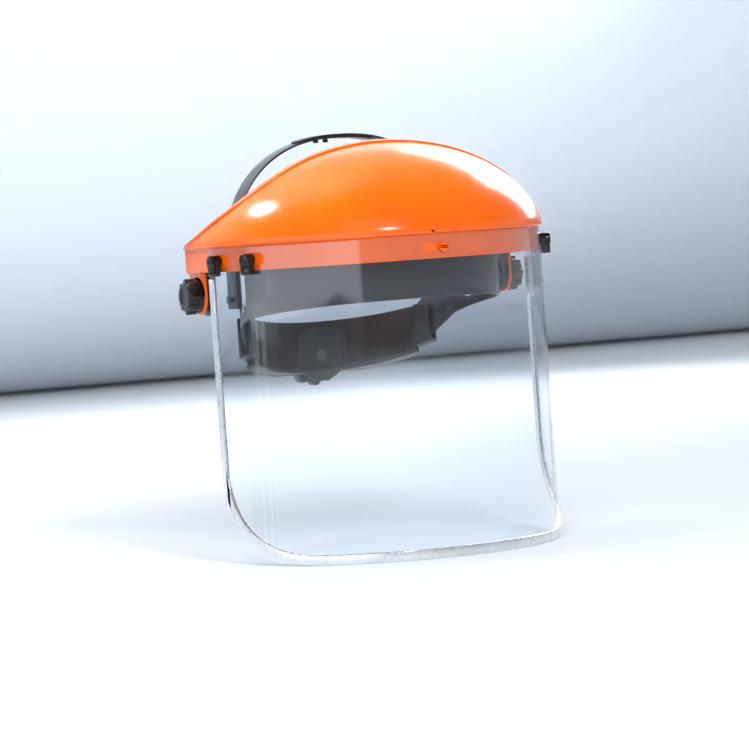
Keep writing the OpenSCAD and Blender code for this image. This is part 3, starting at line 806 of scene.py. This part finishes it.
def strap_half(name, side, d0, d1, past, holes, steps=44):
    """One half of the strap, up its own side and `past` degrees over the middle."""
    turns = [90 - (90 + past) * i / steps for i in range(steps + 1)]
    line = [arch_point(a, d0) for a in turns] + [arch_point(a, d1) for a in reversed(turns)]
    line += [(92.5 + d1, -47), (92.5 + d0, -47)]
    piece = plate(name, [(side * x, STRAP_Y, z) for x, z in line], (0, STRAP_W, 0))
    for x in holes:
        cut(piece, rod("hole", 2.2, (x, STRAP_MID, STRAP_TOP - 25), (x, STRAP_MID, STRAP_TOP + 5)))
    cut(piece, rod("peg_hole", 2.2, (side * 80, PEG_Y, PEG_Z), (side * 100, PEG_Y, PEG_Z)))
    tip_x, tip_z = arch_point(-past, d0)
    tip_x *= side
    for y, turn in ((STRAP_Y, -1), (STRAP_Y + STRAP_W, 1)):
        corner = block("corner", (-5, -5, -8), (5, 5, 8))
        turn_about(corner, 45)
        spot = Vector((tip_x - side * 1.5, y + turn * 1.5, tip_z))
        corner.data.transform(Matrix.Translation(spot * MM))
        cut(piece, corner)
    return soften(piece, 0.4, segments=2)


strap_right = strap_half("strap_right", -1, -STRAP_T, 0, 16, range(-24, 17, 8))
strap_left = strap_half("strap_left", 1, 0.05, 0.05 + STRAP_T, 18.5, range(24, 41, 8))
for x in (-16, -8):
    weld(strap_left, rod("snap", 2, (x, STRAP_MID, STRAP_TOP - 6), (x, STRAP_MID, STRAP_TOP - 1)))
soften(strap_left, 0)
print("strap halves:", len(strap_right.data.polygons), len(strap_left.data.polygons), "faces")

# %% [markdown]
# ### The brow pad
#
# A strip of soft foam inside the front band. Its section is a flat-backed cushion shape, spun
# round the brow and squeezed to the ellipse, with both ends drawn in and two sewn channels along
# it. A cloth simulation needs a pad several times thicker than this one's four millimetres, so
# a bevel rounds its edges instead.

# %% Foam pad
PAD_BACK = -1.3
PAD_T = 3.6
PAD_LOW, PAD_HIGH = -41.6, -9.4
PAD_DEG = 72


def pad_section():
    """The pad's section at the ellipse's side: offset from the band's middle, and height."""
    height = PAD_HIGH - PAD_LOW
    face = []
    for i in range(25):
        share = i / 24
        crown_of = math.sin(math.pi * min(1, max(0, 0.06 + 0.88 * share))) ** 0.35
        channel = sum(math.exp(-((share - spot) / 0.035) ** 2) for spot in (1 / 3, 2 / 3))
        face.append((PAD_BACK - PAD_T * (crown_of - 0.35 * channel), PAD_LOW + height * share))
    return [(PAD_BACK, PAD_LOW), *face, (PAD_BACK, PAD_HIGH)]


def make_pad(steps=48):
    start = math.radians(PAD_DEG)
    section = [round_z(BAND_A + d, PAD_DEG, z) for d, z in pad_section()]
    pad = draw("brow_foam", section)
    bpy.ops.mesh.spin(steps=steps, angle=2 * start, center=(0, 0, 0), axis=(0, 0, 1))
    bpy.ops.mesh.select_all(action="SELECT")
    stretch = (BAND_B + PAD_BACK) / (BAND_A + PAD_BACK)
    bpy.ops.transform.resize(value=(1, stretch, 1), center_override=(0, 0, 0))
    face_outwards()
    only(pad)
    round_off = pad.modifiers.new("soft_ends", "BEVEL")
    round_off.width = 1.2 * MM
    round_off.segments = 3
    round_off.limit_method = "ANGLE"
    round_off.angle_limit = math.radians(60)
    bpy.ops.object.modifier_apply(modifier=round_off.name)
    bpy.ops.object.shade_smooth_by_angle(angle=math.radians(60), keep_sharp_edges=False)
    return pad


brow_foam = make_pad()
print("pad:", len(brow_foam.data.polygons), "faces")

# %% [markdown]
# ### The size tails
#
# Behind the legs the band narrows to two toothed tails that cross inside the nape housing, one
# over the other. A long slot in each has teeth on one edge, so that one pinion drives both. They
# bend as the size changes.

# %% Toothed tails
TAIL_H = 21
TAIL_T = 1.6
MODULE = 1.5
PITCH_R = MODULE * 8 / 2
SLOT_HALF = PITCH_R + 1.25 * MODULE
tail_view = [(LEG_BACK, -43), (56, -45), (61, -49), (65.5, -54), (67, -59.5), (72, -64.5), (81, -72)]
tail_view += [(91, NAPE_Z + TAIL_H / 2), (120, NAPE_Z + TAIL_H / 2), (120, NAPE_Z - TAIL_H / 2)]
tail_view += [(91, NAPE_Z - TAIL_H / 2), (85, -94.5), (72, -87.5), (64, -82.5), (56, -77.5)]
tail_view += [(52, -73.5), (LEG_BACK, -69.5)]


def rack_slot(up):
    """The slot's solid; up is 1 where its teeth hang from the upper edge."""
    pitch = MODULE * math.pi
    root, tip = up * SLOT_HALF, up * (PITCH_R - 0.75 * MODULE)
    edge = [(-34, root)]
    for k in range(-7, 7):
        x = (k + 0.5) * pitch
        edge += [(x - 1.3, root), (x - 0.45, tip), (x + 0.45, tip), (x + 1.3, root)]
    edge += [(34, root), (34, -root), (-34, -root)]
    return plate("rack_slot", [(x, 80, NAPE_Z + z) for x, z in edge], (0, 40, 0))


def make_tail(hand):
    side = SIDES[hand]
    tail = strip(f"tail_{hand}", -20, 66, -TAIL_T / 2, TAIL_T / 2, -110, -30, lift=2 if side > 0 else 0)
    if side < 0:
        tail.data.transform(Matrix.Scale(-1, 4, (1, 0, 0)))
        tail.data.flip_normals()
    keep_inside(tail, side_plate("tail_side_view", tail_view))
    cut(tail, rack_slot(side))
    return soften(tail, 0.25, segments=2)


tails = {hand: make_tail(hand) for hand in SIDES}
print("tails:", {hand: len(tail.data.polygons) for hand, tail in tails.items()})

# %% [markdown]
# ## The pivots' star knobs
#
# Black nylon, eight round grips on a flared base. The grips are one rounded bar copied round the
# pivot's axis and welded on, and a shallow dish is cut in the outer face.


# %% Star knobs
def weld_round(piece, grip, count, axis, centre):
    """Welds a grip on again and again about an axis; the grip itself is used up."""
    for i in range(count):
        weld(piece, turn_about(copy_of(grip, "grip_copy"), 360 * i / count, axis, centre))
    bpy.data.objects.remove(grip)


KNOB_IN = EAR_OUT + 0.3
KNOB_OUT = 137.6
KNOB_R = 13.2


def pivot_rod(name, radius, x0, x1, sides=48):
    """A round bar on the left pivot's axis."""
    return rod(name, radius, (x0, PIVOT_Y, PIVOT_Z), (x1, PIVOT_Y, PIVOT_Z), sides)


def make_star_knob(lobes=8):
    knob = pivot_rod("knob", KNOB_R - 0.6, KNOB_IN, KNOB_IN + 3.2, 64)
    weld(knob, pivot_rod("core", KNOB_R - 2.6, KNOB_IN + 3, KNOB_OUT, 64))
    grip_z = PIVOT_Z + KNOB_R - 2.6
    grip = rod("grip", 2.6, (KNOB_IN + 2.4, PIVOT_Y, grip_z), (KNOB_OUT - 1, PIVOT_Y, grip_z), 24)
    weld_round(knob, grip, lobes, "X", (0, PIVOT_Y, PIVOT_Z))
    cut(knob, pivot_rod("dish", 6.5, KNOB_OUT - 0.8, KNOB_OUT + 2))
    cut(knob, pivot_rod("washer_seat", 8.9, KNOB_IN - 1, KNOB_IN + 1.3))
    cut(knob, pivot_rod("insert_seat", 5, KNOB_IN, KNOB_OUT - 3))
    return soften(knob, 0.6, segments=3)


knob_left = make_star_knob()
knob_left.name = "side_knob_left"
knob_right = mirrored(knob_left, "side_knob_right")
print("knob:", len(knob_left.data.polygons), "faces each")

# %% [markdown]
# ## The nape housing
#
# Two curved shells snap together round the tails. The inner one lies against the neck and is the
# large glossy band seen through the visor, with a stepped lip along its lower edge. The outer
# one carries a round boss for the ratchet. A soft sleeve closes each end.

# %% Housing shells
HOUSING_DEG = 46
BOSS_R = 20
BOSS_BACK = BAND_B + 8
NAPE_LOW, NAPE_HIGH = -115, -45
SHELL_WALL = 1.9
HUB_R = 4
housing_low = [(130, -102), (94, -102), (85, -99), (60, -89.5), (40, -82)]
housing_top = [(40, -49), (66, -56), (86, -61), (97, -63.2), (130, -63.2)]
housing_view = housing_top + housing_low


def raised(points, dz):
    """The same edge in side view, higher by dz."""
    return [(y, z + dz) for y, z in points]


def nape_rod(name, radius, y0, y1, sides=48):
    """A round bar on the ratchet's axis."""
    return rod(name, radius, (0, y0, NAPE_Z), (0, y1, NAPE_Z), sides)


def make_nape_shell():
    shell = strip("nape_inner", -HOUSING_DEG, HOUSING_DEG, -3.6, 3.3, NAPE_LOW, NAPE_HIGH, steps=64)
    keep_inside(shell, side_plate("view", housing_view))
    hollow = strip("hollow", -HOUSING_DEG - 2, HOUSING_DEG + 2, -1.6, 5, -120, -40, steps=64)
    channel = raised(housing_top, -SHELL_WALL) + raised(housing_low, SHELL_WALL)
    cut(shell, keep_inside(hollow, side_plate("channel", channel)))
    lip = strip("lip", -HOUSING_DEG, HOUSING_DEG, -4.6, -2, NAPE_LOW, NAPE_HIGH, steps=64)
    lip_view = [*reversed(raised(housing_low, 4)), *housing_low]
    weld(shell, keep_inside(lip, side_plate("lip_view", lip_view)))
    pad = strip("boss_plate", -30, 30, -3.6, -1.6, NAPE_LOW, NAPE_HIGH)
    weld(shell, keep_inside(pad, nape_rod("boss", BOSS_R, 70, 130, 96)))
    cut(shell, nape_rod("hub_hole", HUB_R + 0.05, 70, 130))
    return soften(shell, 0.45, segments=2)


def make_nape_cover():
    cover = strip("nape_outer", -HOUSING_DEG, HOUSING_DEG, 3.4, 5.2, NAPE_LOW, NAPE_HIGH, steps=64)
    keep_inside(cover, weld(side_plate("view", housing_view), nape_rod("boss", BOSS_R, 70, 125, 96)))
    wall = nape_rod("wall", BOSS_R, BAND_B, BOSS_BACK, 96)
    cut(wall, nape_rod("ring_seat", BOSS_R - 2.4, 70, 130, 96))
    cut(wall, ellipse_solid("inside", 3.7, -120, -40, steps=160))
    weld(cover, wall)
    cut(cover, nape_rod("hub_hole", HUB_R + 0.05, 70, 130))
    return soften(cover, 0.4, segments=2)


nape_inner = make_nape_shell()
nape_outer = make_nape_cover()
print("nape shells:", len(nape_inner.data.polygons), len(nape_outer.data.polygons), "faces")


# %% End sleeves
def make_sleeve():
    """The sleeve on the wearer's left."""
    sleeve = strip("sleeve_left", HOUSING_DEG + 0.2, HOUSING_DEG + 8.5, -4.4, 6, -115, -40, steps=12)
    keep_inside(sleeve, side_plate("view", [(40, -54.5), (98, -54.5), (98, -98.5), (40, -77)]))
    bore = strip("bore", HOUSING_DEG - 5, HOUSING_DEG + 13, -1.7, 3.4, -115, -40, steps=16)
    bore_view = [(30, -40), (110, -40), (110, -101.2), (30, -71.4)]
    cut(sleeve, keep_inside(bore, side_plate("bore_view", bore_view)))
    return soften(sleeve, 0.7, segments=3)


sleeve_left = make_sleeve()
sleeve_right = mirrored(sleeve_left, "sleeve_right")
print("sleeves:", len(sleeve_left.data.polygons), "faces each")

# %% [markdown]
# ## The ratchet knob
#
# A broad flat knob with twelve grips behind the nape. It is made like the star knobs, with a
# softer edge, and a recess for the screw.

# %% Ratchet knob
RATCHET_R = 23.7
RATCHET_T = 15
RATCHET_Y = BOSS_BACK + 0.3


def make_ratchet_knob(grips=12):
    face = RATCHET_Y + RATCHET_T
    knob = nape_rod("size_knob", RATCHET_R - 2.4, RATCHET_Y, face - 2, 96)
    weld(knob, nape_rod("cap", RATCHET_R - 5, RATCHET_Y + 1, face, 96))
    grip_z = NAPE_Z + RATCHET_R - 3.4
    grip = rod("grip", 3.4, (0, RATCHET_Y + 0.6, grip_z), (0, face - 3, grip_z), 24)
    weld_round(knob, grip, grips, "Y", (0, 0, NAPE_Z))
    cut(knob, nape_rod("hub_socket", HUB_R + 0.01, RATCHET_Y - 1, RATCHET_Y + 3.05))
    cut(knob, nape_rod("screw_hole", 1.55, RATCHET_Y - 1, face + 1))
    cut(knob, nape_rod("screw_recess", 5, face - 3, face + 1))
    cut(knob, nape_rod("dish", 12, face - 1, face + 1))
    return soften(knob, 0.9, segments=3)


size_knob = make_ratchet_knob()
print("size knob:", len(size_knob.data.polygons), "faces")

# %% [markdown]
# ## Materials
#
# Nearly everything here is moulded plastic, and what tells one plastic from another is gloss,
# depth of colour and the fine texture of the mould. Each material is built on Object coordinates,
# in metres, so a pattern's scale is one over its size: a spacing of 3 mm is a scale of 333.


# %% Start of a material
def per_mm(size):
    """A texture's scale for features of a given size in millimetres."""
    return 1000 / size


def noise(tree, vector, size, detail, roughness=0.5):
    """Noise with features of a given size in millimetres."""
    scale = {"Vector": vector, "Scale": per_mm(size)}
    return node(tree, "TexNoise", {**scale, "Detail": detail, "Roughness": roughness})


def two_tones(tree, share, first, second):
    """A mix of two hex colours by a texture."""
    ends = {6: colour(first), 7: colour(second)}
    return node(tree, "Mix", {0: share.outputs[0], **ends}, data_type="RGBA").outputs[2]


def scaled(tree, source, low, high, start, end):
    """Turns a texture's low to high into start to end."""
    return node(tree, "MapRange", {0: source.outputs[0], 1: low, 2: high, 3: start, 4: end}).outputs[0]


def new_material(name):
    """An empty node material, its tree and its Object coordinates."""
    material = bpy.data.materials.new(name)
    material.use_nodes = True
    tree = material.node_tree
    tree.nodes.clear()
    return material, tree, node(tree, "TexCoord").outputs["Object"]


def close(tree, shader):
    node(tree, "OutputMaterial", {"Surface": shader.outputs[0]})


# %% [markdown]
# ### Moulded plastics
#
# ABS for the crown: saturated, glossy, with the slow waviness of a thin moulding that cooled
# unevenly. Polyethylene for the headgear: waxy and less sharp. Nylon for the knobs: black with a
# fine spark-eroded grain. They share one recipe with different numbers: slow colour drift, fine
# scuffs in the roughness, and two bumps, one slow and one fine.


# %% One recipe for moulded plastic
def moulded(name, deep, pale, roughness, wave, grain=(0.6, 0.04), scuff=0.08, ior=1.5):
    """deep and pale are the ends of the colour drift; wave and grain are (size in mm, bump)."""
    material, tree, place_of = new_material(name)
    tone = two_tones(tree, noise(tree, place_of, 55, 2.0), deep, pale)
    rubs = noise(tree, place_of, 9, 6.0, 0.7)
    gloss = scaled(tree, rubs, 0.35, 0.75, roughness, roughness + scuff)
    slow = noise(tree, place_of, wave[0], 1.0)
    swell = node(tree, "Bump", {"Height": slow.outputs[0], "Strength": wave[1], "Distance": 0.002})
    fine = noise(tree, place_of, grain[0], 2.0)
    skin = node(tree, "Bump", {
        "Height": fine.outputs[0], "Strength": grain[1], "Distance": 0.0002, "Normal": swell.outputs[0],
    })
    shader = node(tree, "BsdfPrincipled", {
        "Base Color": tone, "Roughness": gloss, "IOR": ior, "Normal": skin.outputs[0],
    })
    close(tree, shader)
    return material


# Injection-moulded ABS, polished mould: deep orange with a wet-looking gloss.
crown_abs = moulded(
    "abs_orange_polished", "#DD4E00", "#F06A00", 0.16, wave=(34, 0.10), grain=(1.4, 0.02), ior=1.54
)
# Low-density polyethylene: blue-black and slightly waxy.
band_polyethylene = moulded("polyethylene_blue_black", "#14161C", "#1E222C", 0.30, wave=(22, 0.12))
# Strap polyethylene: thinner, so it looks a little greyer.
strap_polyethylene = moulded("polyethylene_strap", "#17181B", "#26282C", 0.34, wave=(16, 0.15))
# Glass-filled nylon from a spark-eroded mould: black, fine grain, soft highlight.
knob_nylon = moulded("nylon_black_grained", "#08080A", "#101013", 0.26, wave=(12, 0.05), grain=(0.5, 0.12))
# Polished nylon buttons: small, black and bright at the edges.
button_nylon = moulded("nylon_black_polished", "#070709", "#0E0E11", 0.12, wave=(8, 0.05), grain=(0.8, 0.02))
# Nape housing: smoky brown-black, gloss from a polished mould.
nape_plastic = moulded("polyethylene_smoke", "#1B1716", "#262122", 0.18, wave=(26, 0.10), grain=(1.2, 0.02))
# Acetal: dense, slippery, pale grey.
acetal = moulded("acetal_grey", "#56585C", "#65676B", 0.38, wave=(10, 0.04), grain=(0.6, 0.05))
# The size knob: dark grey nylon with a satin grain.
size_nylon = moulded("nylon_grey_satin", "#202124", "#2E2F33", 0.36, wave=(14, 0.05), grain=(0.5, 0.14))
# Friction fibre: compressed and matt.
fibre = moulded("pressed_fibre", "#1E1B18", "#37322C", 0.85, wave=(3, 0.3), grain=(0.4, 0.5), scuff=0.1)


# %% Clear sheet
CLEAR_IOR = 1.585


def make_clear():
    """Polycarbonate: a window that mirrors more towards its edges, with a few faint wipe marks."""
    material, tree, place_of = new_material("polycarbonate_clear")
    window = node(tree, "BsdfTransparent", {"Color": colour("#F8FBFD")})
    stretch = node(tree, "Mapping", {"Vector": place_of, "Scale": (1.0, 1.0, 0.15)})
    gloss = scaled(tree, noise(tree, stretch.outputs[0], 14, 4.0), 0.4, 0.8, 0.015, 0.05)
    mirror = node(tree, "BsdfGlossy", {"Color": colour("#FFFFFF"), "Roughness": gloss})
    # The second face of the sheet has the air behind it, so its ratio is turned over.
    leaving = node(tree, "NewGeometry").outputs["Backfacing"]
    ratio = node(tree, "MapRange", {0: leaving, 1: 0.0, 2: 1.0, 3: CLEAR_IOR, 4: 1 / CLEAR_IOR})
    share = node(tree, "Fresnel", {"IOR": ratio.outputs[0]})
    close(tree, node(tree, "MixShader", {0: share.outputs[0], 1: window.outputs[0], 2: mirror.outputs[0]}))
    return material


clear_sheet = make_clear()


# %% Metals
def metal(name, bright, dull, roughness, grain, bump):
    """Bare or plated metal: two tones of tarnish, and marks of a given size in millimetres."""
    material, tree, place_of = new_material(name)
    marks = noise(tree, place_of, grain, 5.0)
    tone = two_tones(tree, noise(tree, place_of, 18, 3.0), bright, dull)
    gloss = scaled(tree, marks, 0.3, 0.7, roughness, roughness + 0.15)
    skin = node(tree, "Bump", {"Height": marks.outputs[0], "Strength": bump, "Distance": 0.0004})
    shader = node(tree, "BsdfPrincipled", {
        "Base Color": tone, "Metallic": 1.0, "Roughness": gloss, "Normal": skin.outputs[0],
    })
    close(tree, shader)
    return material


# Soft aluminium strip, rolled bright and dented a little where it was folded over the sheet.
edging_aluminium = metal("aluminium_rolled_bright", "#F4F5F6", "#DADDE0", 0.22, 5, 0.5)
# Zinc-plated steel: bluish and slightly cloudy.
zinc_steel = metal("steel_zinc_plated", "#C9CDD2", "#AEB4BB", 0.25, 1.5, 0.15)
# Turned brass with tool marks.
turned_brass = metal("brass_turned", "#C8A455", "#A98438", 0.28, 1.2, 0.2)


# %% Foam with a knitted face
def make_foam():
    """The knit is drawn at 1.6 mm, twice its real size, so that it shows at this distance."""
    material, tree, place_of = new_material("foam_knit_faced")
    knit = node(tree, "TexVoronoi", {"Vector": place_of, "Scale": per_mm(1.6)})
    tone = two_tones(tree, noise(tree, place_of, 6, 5.0), "#131417", "#26282D")
    skin = node(tree, "Bump", {"Height": knit.outputs["Distance"], "Strength": 0.6, "Distance": 0.0006})
    shader = node(tree, "BsdfPrincipled", {
        "Base Color": tone, "Roughness": 0.92, "Sheen Weight": 0.35, "Normal": skin.outputs[0],
    })
    close(tree, shader)
    return material


foam_knit = make_foam()


# %% Paper for the floor
def make_paper():
    material, tree, place_of = new_material("backdrop_paper")
    tone = two_tones(tree, noise(tree, place_of, 25, 3.0), "#E6ECF4", "#EAF0F7")
    close(tree, node(tree, "BsdfPrincipled", {"Base Color": tone, "Roughness": 0.55}))
    return material


paper.data.materials.append(make_paper())
print("materials:", sorted(m.name for m in bpy.data.materials if m.users))

# %% [markdown]
# ## Putting it together
#
# Every new piece but the tails rides on the CAD body that it belongs to and stands for the CAD node
# of the same part. The tails ride on no body, and their CAD nodes are hidden. Small hidden hardware
# keeps its CAD shape and gets its real metal or plastic.

# %% Pieces on their bodies
visor.name = "visor_sheet"
headband.name = "head_band"
edging.name = "visor_edging"
crown.name = "brow_crown"
place(crown, "crown", "crown_orange", crown_abs, "crown_shell")
place(visor, "crown", "visor_clear", clear_sheet, "visor")
place(edging, "crown", "binding_aluminium", edging_aluminium, "visor_binding")
for name, piece in buttons.items():
    place(piece, name, "button_black", button_nylon, name)
place(headband, "headgear", "headband_black", band_polyethylene, "headband")
place(brow_foam, "headgear", "pad_foam", foam_knit, "brow_pad")
place(nape_inner, "nape", "nape_plastic", nape_plastic, "nape_shell")
place(nape_outer, "nape", "nape_plastic", nape_plastic, "nape_cover")
for hand, arm, strap, knob, sleeve in (
    ("right", arm_right, strap_right, knob_right, sleeve_right),
    ("left", arm_left, strap_left, knob_left, sleeve_left),
):
    place(arm, "headgear", "headband_black", band_polyethylene, f"pivot_arm_{hand}")
    place(strap, "headgear", "strap_black", strap_polyethylene, f"crown_strap_{hand}")
    place(knob, f"star_knob_{hand}", "knob_black", knob_nylon, f"star_knob_{hand}")
    place(sleeve, "nape", "knob_black", knob_nylon, f"end_sleeve_{hand}")
place(size_knob, "ratchet", "ratchet_knob_grey", size_nylon, "ratchet_knob")

# %% Tails in their material
for hand, tail in tails.items():
    tail.data.materials.clear()
    tail.data.materials.append(band_polyethylene)
    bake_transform(tail)
    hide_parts(f"size_tail_{hand}")

# %% Hidden hardware in its own materials
hardware = {zinc_steel: ["ratchet_screw"], acetal: ["ratchet_ring", "ratchet_pinion", "ratchet_pawl"]}
hardware[fibre] = [f"friction_washer_{hand}" for hand in SIDES]
hardware[turned_brass] = [f"knob_insert_{hand}" for hand in SIDES]
hardware[zinc_steel] += [f"{part}_{hand}" for part in ("pivot_bolt", "knob_washer") for hand in SIDES]
for material, names in hardware.items():
    for name in names:
        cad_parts[name].data.materials.clear()
        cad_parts[name].data.materials.append(material)
        print(name, "is", material.name)

# %% [markdown]
# ## The boxes
#
# The box of the visual model is printed beside the CAD model's box. The visual model
# has to fill the same box as the CAD model.

# %% Boxes and finish
bpy.context.scene.view_settings.view_transform = "Standard"
boxes = {"cad": cad_box, "visual": [list(corner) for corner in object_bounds()]}
for name, corners in boxes.items():
    print(name, "box in mm:", [[round(v / MM, 1) for v in corner] for corner in corners])
